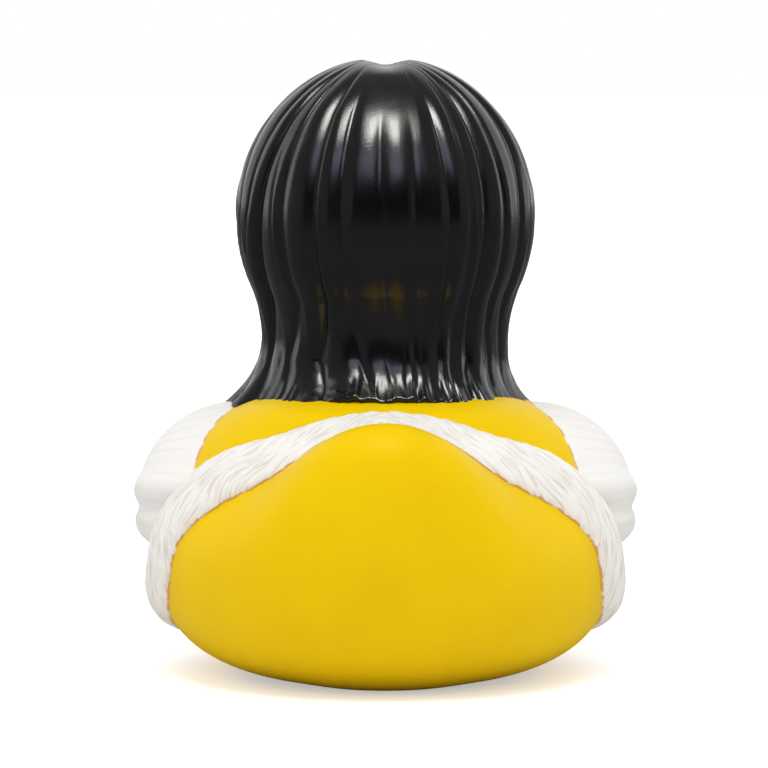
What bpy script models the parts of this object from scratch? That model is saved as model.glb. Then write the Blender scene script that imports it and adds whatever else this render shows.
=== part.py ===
"""Rubber duck with long hair, puffed wings and a fur stole.

The duck is one hollow moulding in soft vinyl, painted in fields of colour.
Units are metres. +Z is up, the duck looks along -Y, and +X is its left side.
The origin is on the surface that it stands on, under the middle of its box.
"""

import math

import bmesh
import bpy
import numpy as np
from mathutils import Matrix, Vector

# Moulding
WALL = 0.0022
VENT_RADIUS = 0.0020

# Torso: a low wide hull, a squarer chest and back on it, and an upswept tail
HULL_HALF_WIDTH = 0.0388
HULL_HALF_LENGTH = 0.0415
HULL_HALF_HEIGHT = 0.0200
HULL_HEIGHT = 0.0185
BACK_HALF_WIDTH = 0.0375
BACK_HALF_LENGTH = 0.0335
BACK_HALF_HEIGHT = 0.0225
BACK_RISE = 0.0085
BACK_FORWARD = 0.0050
BACK_BLEND = 0.0100
TAIL_HALF_WIDTH = 0.0180
TAIL_HALF_DEPTH = 0.0115
TAIL_HALF_HEIGHT = 0.0210
TAIL_INSET = 0.0080
TAIL_RISE = 0.0093
TAIL_LEAN = math.radians(24)
TAIL_BLEND = 0.0160
# How square each form is, seen from above and from the side: 2 is an ellipse
OVAL = 2.0
FULL = 2.35
FLAT_BOTTOMED = 2.6
SQUARE = 3.2

# Head and neck, on one upright axis, measured from the shoulders
NECK_FORWARD = 0.0090
NECK_RADIUS = 0.0182
NECK_SINK = 0.0155
HEAD_RADIUS = 0.0235
HEAD_RISE = 0.0305
HEAD_BLEND = 0.0060
FACE_FORWARD = 0.0012

# Hair: a dome over the head, a waist at the neck and a flared hem just below the shoulders
HAIR_THICKNESS = 0.0032
HAIR_CROWN_THICKNESS = 0.0049
HAIR_DOME_END = math.radians(-27)
HAIR_DOME_SHARE = 0.62
HAIR_WAIST_RADIUS = 0.0219
HAIR_WAIST_RISE = 0.0100
HAIR_HEM_RADIUS = 0.0262
HAIR_HEM_DROP = 0.0025
HAIR_HEM_FLARE = 2.5
HAIR_HEM_SEAT = 0.0040
HAIR_BACK_RISE = 0.0031
HAIR_BACK_SWEEP = 0.0020
HAIR_ROWS = 18
# A shallow trough over the crown from front to back, with a dimple where the locks meet
TROUGH_DEPTH = 0.0011
TROUGH_WIDTH = 0.0032
TROUGH_LENGTH = 0.0120
DIMPLE_DEPTH = 0.0007
DIMPLE_RADIUS = 0.0040
# The face's opening in the hair, measured from the middle of the head
FACE_EDGE_TUCK = 0.0015
FACE_EDGE_STEP = 0.0030
PARTING_DEPTH = 0.0012
FOREHEAD_RISE = 0.0200
EYE_RISE = 0.0045
PARTING_ANGLE = math.radians(2)
FACE_OPENING = math.radians(50)
HEM_OPENING = math.radians(40)
OPENING_COLUMNS = (0.03, 0.2, 0.5, 0.8, 0.97)
# Crest of each lock at the back, as azimuths from the nape at six shares of the way down
CREST_SHARES_DOWN = (0.10, 0.25, 0.45, 0.65, 0.85, 1.0)
CREST_DEG = (
    (-70, -74, -71, -79, -93, -90),
    (-52, -57, -63, -74, -80, -71),
    (-41, -45, -49, -49, -58, -54),
    (-31, -36, -36, -34, -44, -38),
    (-19, -24, -24, -22, -20, -11),
    (-6, -8, -10, -9, -6, 1),
    (5, 5, 5, 8, 10, 11),
    (16, 18, 20, 22, 19, 18),
    (27, 29, 30, 29, 28, 25),
    (37, 38, 38, 38, 36, 32),
    (47, 48, 48, 46, 48, 46),
    (59, 57, 56, 58, 63, 62),
    (80, 77, 70, 72, 80, 79),
)
# Locks at the sides, as shares of the way from the last of those crests to the edge of the face
SIDE_CREST_SHARES = (0.19, 0.40, 0.58, 0.77, 0.93)
# The cut on each lock's far side, as a share of the full depth, and the share of the way down where it starts
CUT_SHARES = (0.8, 1.0, 0.6, 0.8, 0.7, 0.8, 0.5, 0.8, 0.4, 0.8, 0.7, 0.9, 0.8)
SIDE_CUT_SHARES = (0.9, 0.6, 1.0, 0.7, 0.8)
CUT_START_SHARES = (0.02, 0.02, 0.06, 0.08, 0.12, 0.22, 0.24, 0.16, 0.12, 0.04, 0.02, 0.02, 0.02)
SIDE_CUT_START_SHARE = 0.02
CUT_FADE_SHARE = 0.16
# How far each lock stands out, and how far its tip hangs and kicks out
LOCK_STANDS = (
    0.0001, 0.0003, 0.0, 0.0002, 0.0001, 0.0, 0.0002, 0.0, 0.0002, 0.0, 0.0003, 0.0, 0.0003,
)
SIDE_LOCK_STANDS = (0.0, 0.0002, 0.0, 0.0003, 0.0)
LOCK_HANGS = (
    0.0006, 0.0009, 0.0011, 0.0007, 0.0, 0.0003, 0.0005, 0.0003, 0.0008, 0.0005, 0.0008, 0.0010, 0.0006,
)
SIDE_LOCK_HANGS = (0.0004, 0.0009, 0.0005, 0.0008, 0.0004)
LOCK_KICKS = (
    0.0026, 0.0022, 0.0010, 0.0002, 0.0, 0.0002, 0.0, 0.0, 0.0, 0.0, -0.0002, -0.0006, -0.0009,
)
SIDE_LOCK_KICKS = (0.0, 0.0003, 0.0, 0.0004, 0.0)
HEM_LIFT = 0.0003
LOCK_DEPTH_SHARE = 0.15
LOCK_DEEPEST = 0.0015
LOCK_ACROSS_SHARES = (-1.0, -0.6, -0.2, 0.2, 0.6)

# Stole: a carved fur band on the torso, from behind the tail down and forward on both sides
STOLE_THICKNESS = 0.0026
STOLE_WIDTH = 0.0125
STOLE_NAPE_WIDTH = 0.0115
# Its middle line, as azimuth from the tail and height above the torso's centre
STOLE_LINE_DEG = (
    (0, 48), (17, 42), (35, 31), (53, 22), (68, 9), (76, -6), (90, -14), (106, -18), (122, -20),
)
STOLE_STATIONS = 76
STOLE_END_SHARE = 0.08
STOLE_ACROSS_SHARES = (-1.0, -0.86, -0.5, 0.0, 0.5, 0.86, 1.0)
FUR_RIPPLE = 0.00035
FUR_RIPPLES = 12
SKIN_SEAT = 0.0015

# Wings: three feathers a side, each a rounded lobe set into the torso
FEATHERS = (
    # in from the back's side, forward, below the shoulders, half thickness, half length, half height
    (0.0115, 0.0070, 0.0190, 0.0180, 0.0225, 0.0166),
    (0.0045, 0.0060, 0.0182, 0.0122, 0.0210, 0.0064),
    (0.0045, 0.0060, 0.0236, 0.0119, 0.0190, 0.0064),
)
# How deep the underside of each feather is, against its top
FEATHER_UNDER_SHARES = (0.55, 1.0, 1.0)
WING_DROOP = math.radians(8)

# Bill and eyes
BILL_HALF_WIDTH = 0.0125
BILL_LENGTH = 0.0135
BILL_DROP = 0.0065
BILL_UPTURN = 0.0035
BILL_SPREAD = 0.22
UPPER_BILL_THICKNESS = 0.0062
LOWER_BILL_THICKNESS = 0.0044
LOWER_BILL_SHARE = 0.80
BILL_MEET = 0.0014
EYE_AZIMUTH = math.radians(24)
EYE_HALF_WIDTH = 0.0042
EYE_HALF_HEIGHT = 0.0054
EYE_RELIEF = 0.0007
EYE_SEAT = 0.0022
PUPIL_RELIEF = 0.0012
PUPIL_SHARE = 0.62

# Heights that follow from those sizes
SHOULDER_HEIGHT = HULL_HEIGHT + BACK_RISE + BACK_HALF_HEIGHT
HEAD_HEIGHT = SHOULDER_HEIGHT + HEAD_RISE
HAIR_HEM_HEIGHT = SHOULDER_HEIGHT - HAIR_HEM_DROP
HAIR_WAIST_HEIGHT = HAIR_HEM_HEIGHT + HAIR_WAIST_RISE


def metres(x, y, z):
    return np.array([x, y, z], float)


def paint(name, red, green, blue, roughness):
    """A vinyl or paint finish, with its colour in linear light."""
    material = bpy.data.materials.new(name)
    material.use_nodes = True
    shader = material.node_tree.nodes["Principled BSDF"]
    shader.inputs["Base Color"].default_value = (red, green, blue, 1.0)
    shader.inputs["Roughness"].default_value = roughness
    shader.inputs["Metallic"].default_value = 0.0
    material.diffuse_color = (red, green, blue, 1.0)
    return material


def blob(points, centre, half, plan=OVAL, profile=OVAL, lean=0.0):
    """Signed distance, nearly, from points to a rounded block that leans back about X."""
    local = (points - centre) @ np.array(Matrix.Rotation(-lean, 3, "X"))
    share = np.abs(local / half)
    level = (share[:, 0] ** plan + share[:, 1] ** plan) ** (profile / plan)
    outward = np.maximum((level + share[:, 2] ** profile) ** (1 / profile), 1e-9)
    return np.linalg.norm(local, axis=1) * (1 - 1 / outward)


def blended(first, second, radius):
    """The smooth union of two distances, with a fillet of about that radius."""
    overlap = np.maximum(radius - np.abs(first - second), 0) / radius
    return np.minimum(first, second) - overlap**2 * radius / 4


def torso_distance(points):
    hull = blob(
        points,
        metres(0, 0, HULL_HEIGHT),
        metres(HULL_HALF_WIDTH, HULL_HALF_LENGTH, HULL_HALF_HEIGHT),
        FULL,
        FLAT_BOTTOMED,
    )
    back = blob(
        points,
        metres(0, -BACK_FORWARD, HULL_HEIGHT + BACK_RISE),
        metres(BACK_HALF_WIDTH, BACK_HALF_LENGTH, BACK_HALF_HEIGHT),
        FULL,
        SQUARE,
    )
    tail = blob(
        points,
        metres(0, HULL_HALF_LENGTH - TAIL_INSET, HULL_HEIGHT + TAIL_RISE),
        metres(TAIL_HALF_WIDTH, TAIL_HALF_DEPTH, TAIL_HALF_HEIGHT),
        lean=TAIL_LEAN,
    )
    return blended(blended(hull, back, BACK_BLEND), tail, TAIL_BLEND)


def head_distance(points):
    head = blob(points, head_centre(), metres(HEAD_RADIUS, HEAD_RADIUS, HEAD_RADIUS))
    neck = blob(
        points,
        metres(0, -NECK_FORWARD, SHOULDER_HEIGHT + (HEAD_RISE - NECK_SINK) / 2),
        metres(NECK_RADIUS, NECK_RADIUS, (HEAD_RISE + NECK_SINK) / 2),
        profile=SQUARE,
    )
    return blended(head, neck, HEAD_BLEND)


def torso_centre():
    return metres(0, 0, HULL_HEIGHT + BACK_RISE / 2)


def head_centre():
    return metres(0, -NECK_FORWARD - FACE_FORWARD, HEAD_HEIGHT)


def reach(distance, centre, directions, inset=0.0):
    """How far a form's skin, less an inset, lies from its centre along each direction, by halving."""
    near = np.zeros(len(directions))
    far = np.full(len(directions), 2 * HULL_HALF_LENGTH)
    for _ in range(30):
        middle = (near + far) / 2
        points = centre + directions * middle[:, None]
        inside = distance(points) < -inset
        if inset:
            inside &= points[:, 2] > inset
        near = np.where(inside, middle, near)
        far = np.where(inside, far, middle)
    return near


def finished(name, mesh_in_work, material):
    """An object from a bmesh, with its faces turned outwards."""
    bmesh.ops.recalc_face_normals(mesh_in_work, faces=mesh_in_work.faces)
    mesh = bpy.data.meshes.new(name)
    mesh_in_work.to_mesh(mesh)
    mesh_in_work.free()
    mesh.materials.append(material)
    obj = bpy.data.objects.new(name, mesh)
    bpy.context.scene.collection.objects.link(obj)
    return obj


def ball(columns, rows):
    """A bmesh sphere of radius 1 about the origin."""
    work = bmesh.new()
    bmesh.ops.create_uvsphere(work, u_segments=columns, v_segments=rows, radius=1.0)
    return work


def ellipsoid(name, centre, half, material, columns, rows, turn, under=1.0):
    """An ellipsoid, turned and placed, whose underside may be shallower than its top."""
    work = ball(columns, rows)
    for vertex in work.verts:
        vertex.co.z *= under if vertex.co.z < 0 else 1.0
    place = Matrix.Translation(Vector(centre)) @ turn
    bmesh.ops.transform(work, matrix=place @ Matrix.Diagonal((*half, 1.0)), verts=work.verts)
    return finished(name, work, material)


def skin(name, distance, centre, material, columns, rows, inset=0.0):
    """A sphere whose points are moved out along their own rays to a form's skin, less an inset."""
    work = ball(columns, rows)
    directions = np.array([v.co.normalized() for v in work.verts])
    lengths = reach(distance, centre, directions, inset)
    for vertex, point in zip(work.verts, centre + directions * lengths[:, None]):
        vertex.co = point
    return finished(name, work, material)


def hair_profile(share):
    """Radius, height and outward normal of the hair's outline, from the crown at 0 to the hem at 1."""
    wide = HEAD_RADIUS + HAIR_THICKNESS
    tall = HEAD_RADIUS + HAIR_CROWN_THICKNESS
    if share <= HAIR_DOME_SHARE:
        angle = math.pi / 2 + (HAIR_DOME_END - math.pi / 2) * share / HAIR_DOME_SHARE
        normal = Vector((tall * math.cos(angle), wide * math.sin(angle))).normalized()
        return wide * math.cos(angle), HEAD_HEIGHT + tall * math.sin(angle), normal
    top = HEAD_HEIGHT + tall * math.sin(HAIR_DOME_END)
    height = top + (HAIR_HEM_HEIGHT - top) * (share - HAIR_DOME_SHARE) / (1 - HAIR_DOME_SHARE)
    if height > HAIR_WAIST_HEIGHT:
        reach_up, power = top - HAIR_WAIST_HEIGHT, 2.0
        swell = wide * math.cos(HAIR_DOME_END) - HAIR_WAIST_RADIUS
    else:
        reach_up, power = HAIR_HEM_HEIGHT - HAIR_WAIST_HEIGHT, HAIR_HEM_FLARE
        swell = HAIR_HEM_RADIUS - HAIR_WAIST_RADIUS
    away = (height - HAIR_WAIST_HEIGHT) / reach_up
    slope = swell * power * away ** (power - 1) / reach_up
    return HAIR_WAIST_RADIUS + swell * away**power, height, Vector((1, -slope)).normalized()


def opening_angle(height):
    """Half the angle of the face's opening at a height, from the forehead's peak to the hem."""
    eye_level = HEAD_HEIGHT + EYE_RISE
    if height >= eye_level:
        rise = min((height - eye_level) / (FOREHEAD_RISE - EYE_RISE), 1.0)
        return max(FACE_OPENING * (1 - rise) ** 0.75, PARTING_ANGLE)
    fall = min((eye_level - height) / (eye_level - HAIR_HEM_HEIGHT), 1.0)
    return FACE_OPENING + (HEM_OPENING - FACE_OPENING) * fall


def eased(low, high, value):
    """Rises smoothly from 0 at low to 1 at high."""
    share = min(max((value - low) / (high - low), 0.0), 1.0)
    return share * share * (3 - 2 * share)


def all_locks(back, side):
    """Values for every lock, from the face round by the nape to the face again."""
    return (*reversed(side), *back, *side)


def lock_lines(share_down, edge):
    """Azimuths of the locks' crests, and of the cuts on either side of each, at a way down."""
    back = [math.radians(np.interp(share_down, CREST_SHARES_DOWN, line)) for line in CREST_DEG]
    left = [back[0] - (edge + back[0]) * share for share in reversed(SIDE_CREST_SHARES)]
    right = [back[-1] + (edge - back[-1]) * share for share in SIDE_CREST_SHARES]
    crests = [*left, *back, *right]
    cuts = [-edge]
    for i, (first, second) in enumerate(zip(crests, crests[1:])):
        wander = 0.12 * math.sin(5 * share_down + 2.4 * i) + 0.10 * math.sin(1.7 * i)
        cuts.append(first + (0.5 + wander) * (second - first))
    return crests, [*cuts, edge]


def hair_columns():
    """(lock, way across it from -1 to 1, share across the face's opening) of each column."""
    locks = range(len(CREST_DEG) + 2 * len(SIDE_CREST_SHARES))
    columns = [(lock, across, None) for lock in locks for across in LOCK_ACROSS_SHARES]
    columns.append((locks[-1], 1.0, None))
    return columns + [(None, None, share) for share in OPENING_COLUMNS]


def lock_form(lock, across, share_down, edge, radius):
    """Azimuth of a point of a lock, its depth under the outline, and how far its tip hangs and kicks out."""
    crests, cuts = lock_lines(share_down, edge)
    far = across > 0
    azimuth = crests[lock] + across * (cuts[lock + 1] - crests[lock] if far else crests[lock] - cuts[lock])
    cut = lock + 1 if far else lock
    depths = (SIDE_CUT_SHARES[-1], *all_locks(CUT_SHARES, SIDE_CUT_SHARES))
    side_starts = [SIDE_CUT_START_SHARE] * len(SIDE_CUT_SHARES)
    starts = (SIDE_CUT_START_SHARE, *all_locks(CUT_START_SHARES, side_starts))
    deepest = min(LOCK_DEPTH_SHARE * (cuts[lock + 1] - cuts[lock]) * radius * depths[cut], LOCK_DEEPEST)
    deepest *= eased(starts[cut], starts[cut] + CUT_FADE_SHARE, share_down)
    away = abs(across)
    depth = deepest * (0.7 * away**2 + 0.3 * math.sin(away * math.pi / 2) ** 2)
    stand = all_locks(LOCK_STANDS, SIDE_LOCK_STANDS)[lock]
    depth -= stand * (1 - across**2) ** 2 * eased(0.08, 0.3, share_down)
    hang = all_locks(LOCK_HANGS, SIDE_LOCK_HANGS)[lock] * (1 - away**2.5) - HEM_LIFT
    kicks = all_locks(LOCK_KICKS, SIDE_LOCK_KICKS)
    beside = min(max(lock + (1 if far else -1), 0), len(kicks) - 1)
    kick = kicks[lock] + (kicks[beside] - kicks[lock]) * away / 2
    return azimuth, depth, hang * eased(0.88, 1.0, share_down), kick * eased(0.76, 1.04, share_down)


def hair_point(column, share_down):
    """A point of the hair's face in a column, from the crown at 0 to the hem at 1."""
    lock, across, share_open = column
    radius, height, normal = hair_profile(share_down)
    opening = opening_angle(height)
    tuck = hang = kick = 0.0
    if share_open is None:
        azimuth, depth, hang, kick = lock_form(lock, across, share_down, math.pi - opening, radius)
    else:
        azimuth = math.pi - opening + share_open * 2 * opening
        peak = HEAD_HEIGHT + FOREHEAD_RISE
        below_peak = min(max((peak - height) / FACE_EDGE_STEP, 0.0), 1.0)
        below_chin = min(max((HEAD_HEIGHT - height) / HEAD_RADIUS, 0.0), 1.0)
        depth = PARTING_DEPTH * min(1.0, 4 * share_down)
        depth += (HAIR_THICKNESS + FACE_EDGE_TUCK) * below_peak * (1 - below_chin)
        tuck = (HAIR_THICKNESS + FACE_EDGE_TUCK + NECK_RADIUS / 2) * below_chin
    backward = max(0.0, math.cos(azimuth)) * max(0.0, 2 * share_down - 1)
    outward = radius - depth * normal.x - tuck + kick
    trough = TROUGH_DEPTH * math.exp(-((outward * math.sin(azimuth) / TROUGH_WIDTH) ** 2))
    dip = trough * eased(TROUGH_LENGTH, TROUGH_LENGTH / 3, radius)
    dip += DIMPLE_DEPTH * max(0.0, 1 - (radius / DIMPLE_RADIUS) ** 2)
    return Vector(
        (
            -outward * math.sin(azimuth),
            -NECK_FORWARD + outward * math.cos(azimuth) + HAIR_BACK_SWEEP * backward,
            height + HAIR_BACK_RISE * backward**2 - depth * normal.y - hang - dip,
        )
    )


def hair(material):
    """The hair as a closed bell of locks, which dips under the skin where the face opens."""
    work = bmesh.new()
    columns = hair_columns()
    crown = work.verts.new(hair_point(columns[0], 0.0))
    rings = []
    for row in range(1, HAIR_ROWS + 1):
        share = row / HAIR_ROWS
        rings.append([work.verts.new(hair_point(column, share)) for column in columns])
    axis = Vector((0, -NECK_FORWARD, HAIR_HEM_HEIGHT - HAIR_HEM_SEAT))
    for inward in (0.14, 0.55):
        ring = [work.verts.new(vertex.co.lerp(axis, inward)) for vertex in rings[HAIR_ROWS - 1]]
        rings.append(ring)
    foot = work.verts.new(axis)
    for upper, lower in zip(rings, rings[1:]):
        for i in range(len(columns)):
            j = (i + 1) % len(columns)
            work.faces.new((upper[i], upper[j], lower[j], lower[i]))
    for i in range(len(columns)):
        j = (i + 1) % len(columns)
        work.faces.new((crown, rings[0][j], rings[0][i]))
        work.faces.new((foot, rings[-1][i], rings[-1][j]))
    return finished("hair", work, material)


def stole_line(share):
    """Azimuth and height angle of the stole's middle line, from the tail at 0 to an end at 1."""
    place = share * (len(STOLE_LINE_DEG) - 1)
    i = min(int(place), len(STOLE_LINE_DEG) - 2)
    t = place - i
    first, last = STOLE_LINE_DEG[i], STOLE_LINE_DEG[i + 1]
    before = STOLE_LINE_DEG[i - 1] if i else (-STOLE_LINE_DEG[1][0], STOLE_LINE_DEG[1][1])
    after = STOLE_LINE_DEG[min(i + 2, len(STOLE_LINE_DEG) - 1)]
    angles = []
    for a, b, c, d in zip(before, first, last, after):
        cubic = 2 * b + (c - a) * t + (2 * a - 5 * b + 4 * c - d) * t**2
        angles.append(math.radians((cubic + (3 * b - a - 3 * c + d) * t**3) / 2))
    return angles


def toward(azimuth, rise):
    return Vector(
        (-math.sin(azimuth) * math.cos(rise), math.cos(azimuth) * math.cos(rise), math.sin(rise))
    )


def stole_direction(share):
    """The direction from the torso's centre to the stole's middle line; share runs from -1 to 1."""
    azimuth, rise = stole_line(abs(share))
    return toward(math.copysign(azimuth, share), rise)


def stole(material):
    """The stole as a pillow-shaped band that follows the torso's skin, its edges sunk into it."""
    work = bmesh.new()
    rings = []
    for station in range(STOLE_STATIONS + 1):
        share = 2 * station / STOLE_STATIONS - 1
        middle = stole_direction(share)
        ahead = stole_direction(min(share + 0.01, 1.0)) - stole_direction(max(share - 0.01, -1.0))
        side = middle.cross(ahead).normalized()
        to_end = max(0.0, (abs(share) - 1 + STOLE_END_SHARE) / STOLE_END_SHARE)
        taper = max(math.sqrt(1 - to_end**2), 0.05)
        width = STOLE_NAPE_WIDTH + (STOLE_WIDTH - STOLE_NAPE_WIDTH) * min(1.0, 3 * abs(share))
        half = width / 2 / HULL_HALF_WIDTH * taper
        rays = np.array([(middle + side * half * across).normalized() for across in STOLE_ACROSS_SHARES])
        lengths = reach(torso_distance, torso_centre(), rays)
        rise = np.array([math.sqrt(1 - across**2) for across in STOLE_ACROSS_SHARES])
        phase = 2 * math.pi * FUR_RIPPLES * share + 2 * np.array(STOLE_ACROSS_SHARES)
        lift = (STOLE_THICKNESS + FUR_RIPPLE * np.sin(phase)) * rise * taper
        top = torso_centre() + rays * (lengths + lift - SKIN_SEAT * (1 - rise))[:, None]
        bottom = torso_centre() + rays * (lengths - 1.6 * SKIN_SEAT)[:, None]
        rings.append([work.verts.new(point) for point in (*top, *bottom[::-1])])
    for ring, next_ring in zip(rings, rings[1:]):
        for i in range(len(ring)):
            j = (i + 1) % len(ring)
            work.faces.new((ring[i], ring[j], next_ring[j], next_ring[i]))
    work.faces.new(rings[0])
    work.faces.new(rings[-1])
    return finished("stole", work, material)


def feathers(material):
    """Both wings: three lobes a side, one over another, which droop towards the tail."""
    droop = Matrix.Rotation(-WING_DROOP, 4, "X")
    made = []
    for side in (-1, 1):
        for (inset, forward, drop, *half), under in zip(FEATHERS, FEATHER_UNDER_SHARES):
            place = (side * (BACK_HALF_WIDTH - inset), -forward, SHOULDER_HEIGHT - drop)
            made.append(ellipsoid("feather", place, half, material, 18, 10, droop, under))
    return made


def bill(material):
    """The two halves of the bill: spoons that meet flat to flat and turn up at the tip."""
    root = NECK_FORWARD + FACE_FORWARD + HEAD_RADIUS
    made = []
    for name, side, share, thickness in (
        ("upper_bill", 1, 1.0, UPPER_BILL_THICKNESS),
        ("lower_bill", -1, LOWER_BILL_SHARE, LOWER_BILL_THICKNESS),
    ):
        work = ball(24, 12)
        for vertex in work.verts:
            x, y, z = vertex.co
            forward = max(0.0, -y) * share
            rounded = z * thickness if z * side > 0 else z * BILL_MEET
            vertex.co = (
                x * BILL_HALF_WIDTH * share * (1 - BILL_SPREAD / 2 + BILL_SPREAD * forward),
                -root + y * BILL_LENGTH * share,
                HEAD_HEIGHT - BILL_DROP + rounded + BILL_UPTURN * forward**2,
            )
        made.append(finished(name, work, material))
    return made


def eyes(white, black):
    """Each eye is a shallow white dome on the face with a black dome of a pupil on it."""
    made = []
    tilt = math.asin(EYE_RISE / HEAD_RADIUS)
    for side in (-1, 1):
        turn = Matrix.Rotation(side * EYE_AZIMUTH, 4, "Z") @ Matrix.Rotation(-tilt, 4, "X")
        place = Vector(head_centre()) + turn @ Vector((0, EYE_SEAT - HEAD_RADIUS, 0))
        for share, relief, material in ((1.0, EYE_RELIEF, white), (PUPIL_SHARE, PUPIL_RELIEF, black)):
            half = (EYE_HALF_WIDTH * share, EYE_SEAT + relief, EYE_HALF_HEIGHT * share)
            made.append(ellipsoid("eye", place, half, material, 16, 8, turn))
    return made


def cylinder(name, radius, low, high, sides, material):
    work = bmesh.new()
    bmesh.ops.create_cone(
        work, cap_ends=True, segments=sides, radius1=radius, radius2=radius, depth=high - low
    )
    bmesh.ops.translate(work, vec=(0, 0, (low + high) / 2), verts=work.verts)
    return finished(name, work, material)


def ground_slab(material):
    """A block under the standing surface, to cut the hull flat."""
    size = 4 * HULL_HALF_LENGTH
    work = bmesh.new()
    bmesh.ops.create_cube(work, size=size)
    bmesh.ops.translate(work, vec=(0, 0, -size / 2), verts=work.verts)
    return finished("ground_slab", work, material)


def combine(body, others, operation):
    """Joins or cuts the body with each other solid in turn, and removes them."""
    for other in others:
        modifier = body.modifiers.new(operation.lower(), "BOOLEAN")
        modifier.operation = operation
        modifier.solver = "EXACT"
        modifier.material_mode = "TRANSFER"
        modifier.object = other
        graph = bpy.context.evaluated_depsgraph_get()
        shape = bpy.data.meshes.new_from_object(body.evaluated_get(graph))
        body.modifiers.clear()
        body.data = shape
        bpy.data.objects.remove(other)


def centre_on_footprint(body):
    """Moves the duck so that its box is centred on the origin along X and Y."""
    corners = np.array([v.co for v in body.data.vertices])
    middle = (corners.min(axis=0) + corners.max(axis=0)) / 2
    body.data.transform(Matrix.Translation((-middle[0], -middle[1], 0)))


def build_duck():
    yellow = paint("yellow_vinyl", 0.855, 0.577, 0.0, 0.42)
    black = paint("black_hair_paint", 0.006, 0.006, 0.006, 0.25)
    white = paint("white_fur_paint", 0.80, 0.78, 0.75, 0.60)
    orange = paint("orange_bill_paint", 0.800, 0.180, 0.010, 0.35)

    duck = skin("duck_shell", torso_distance, torso_centre(), yellow, 60, 30)
    head = skin("head", head_distance, head_centre(), yellow, 40, 24)
    combine(duck, [head, stole(white), *feathers(white)], "UNION")
    combine(duck, [hair(black), *bill(orange), *eyes(white, black)], "UNION")

    hollow = skin("torso_hollow", torso_distance, torso_centre(), yellow, 30, 16, WALL)
    head_hollow = skin("head_hollow", head_distance, head_centre(), yellow, 24, 14, WALL)
    vent = cylinder("vent", VENT_RADIUS, -WALL, HULL_HEIGHT, 24, yellow)
    combine(hollow, [head_hollow, vent], "UNION")
    combine(duck, [ground_slab(yellow), hollow], "DIFFERENCE")
    centre_on_footprint(duck)
    duck.data.shade_smooth()
    duck.data.set_sharp_from_angle(angle=math.radians(40))
    return duck


for old in list(bpy.data.objects):
    bpy.data.objects.remove(old)
build_duck()
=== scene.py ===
"""Looks of the rubber duck: soft yellow vinyl with sprayed hair, a carved fur stole and puffed wings.

Units are metres. +Z is up, the duck looks along -Y, and the photograph is taken from behind it, from +Y.
Every form repeats the solid's own sizes, so each piece lies where the solid is.
"""

import logging
import math
from collections.abc import Iterator
from contextlib import contextmanager
from dataclasses import dataclass
from enum import Enum

import bpy
import numpy as np
from mathutils import Matrix, Vector


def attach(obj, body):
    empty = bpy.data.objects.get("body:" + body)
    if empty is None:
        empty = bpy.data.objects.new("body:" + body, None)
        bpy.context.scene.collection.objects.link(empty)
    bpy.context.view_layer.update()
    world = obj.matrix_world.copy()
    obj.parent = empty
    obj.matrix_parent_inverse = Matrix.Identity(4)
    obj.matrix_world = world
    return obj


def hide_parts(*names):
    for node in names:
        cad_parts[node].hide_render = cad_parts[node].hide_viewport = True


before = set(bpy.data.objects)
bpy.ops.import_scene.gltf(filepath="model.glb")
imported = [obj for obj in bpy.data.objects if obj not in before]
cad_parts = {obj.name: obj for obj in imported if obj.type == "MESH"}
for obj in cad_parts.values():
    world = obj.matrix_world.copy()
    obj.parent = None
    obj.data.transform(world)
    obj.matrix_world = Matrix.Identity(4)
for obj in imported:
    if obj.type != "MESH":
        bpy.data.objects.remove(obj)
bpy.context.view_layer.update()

log = logging.getLogger("duck")
Piece = bpy.types.Object
Array = np.ndarray
Point = tuple[float, float, float]
MM = 1000.0  # Millimetres in a metre


class Slot(Enum):
    """The record's material slots."""

    VINYL = "yellow_vinyl"
    BLACK = "black_paint"
    WHITE = "white_paint"
    ORANGE = "orange_paint"


# Small helpers for selecting, shaping and finishing


def linear(code: str) -> tuple[float, float, float, float]:
    """Turns an sRGB hex colour into linear light.

    Args:
        code: Six hex digits, such as "EDC800".

    Returns:
        Red, green, blue and an alpha of 1.
    """
    shares = [int(code[i : i + 2], 16) / 255 for i in (0, 2, 4)]
    return *(s / 12.92 if s <= 0.04045 else ((s + 0.055) / 1.055) ** 2.4 for s in shares), 1.0


def wire(node: bpy.types.Node, settings: dict, links: dict) -> None:
    """Sets a node up.

    Args:
        node: The node.
        settings: Properties by name, and values of sockets by name or number.
        links: For each input socket, by name or number, the socket or the node that feeds it. A node
            feeds it from its first output, and a colour mix from its third.
    """
    for key, value in settings.items():
        if isinstance(key, str) and hasattr(node, key):
            setattr(node, key, value)
        else:
            node.inputs[key].default_value = value
    for key, source in links.items():
        if isinstance(source, bpy.types.Node):
            source = source.outputs[2 if source.bl_idname == "ShaderNodeMix" else 0]
        node.id_data.links.new(source, node.inputs[key])


def add_node(
    tree: bpy.types.NodeTree, kind: str, settings: dict | None = None, links: dict | None = None
) -> bpy.types.Node:
    """Adds one node to a tree.

    Args:
        tree: The node tree of a material or of the world.
        kind: The node's type without "ShaderNode", such as "TexNoise".
        settings: As for wire.
        links: As for wire.

    Returns:
        The new node.
    """
    made = tree.nodes.new(f"ShaderNode{kind}")
    wire(made, settings or {}, links or {})
    return made


def new_material(name: str) -> tuple[bpy.types.Material, bpy.types.Node, bpy.types.NodeSocket]:
    """Starts a material.

    Args:
        name: The material's name.

    Returns:
        The material, its shader, and the Object coordinates.
    """
    made = bpy.data.materials.new(name)
    made.use_nodes = True
    place = add_node(made.node_tree, "TexCoord").outputs["Object"]
    return made, made.node_tree.nodes["Principled BSDF"], place


def select_only(piece: Piece) -> None:
    """Leaves one object selected and active.

    Args:
        piece: The object to work on.
    """
    bpy.ops.object.select_all(action="DESELECT")
    piece.select_set(True)
    bpy.context.view_layer.objects.active = piece


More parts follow.
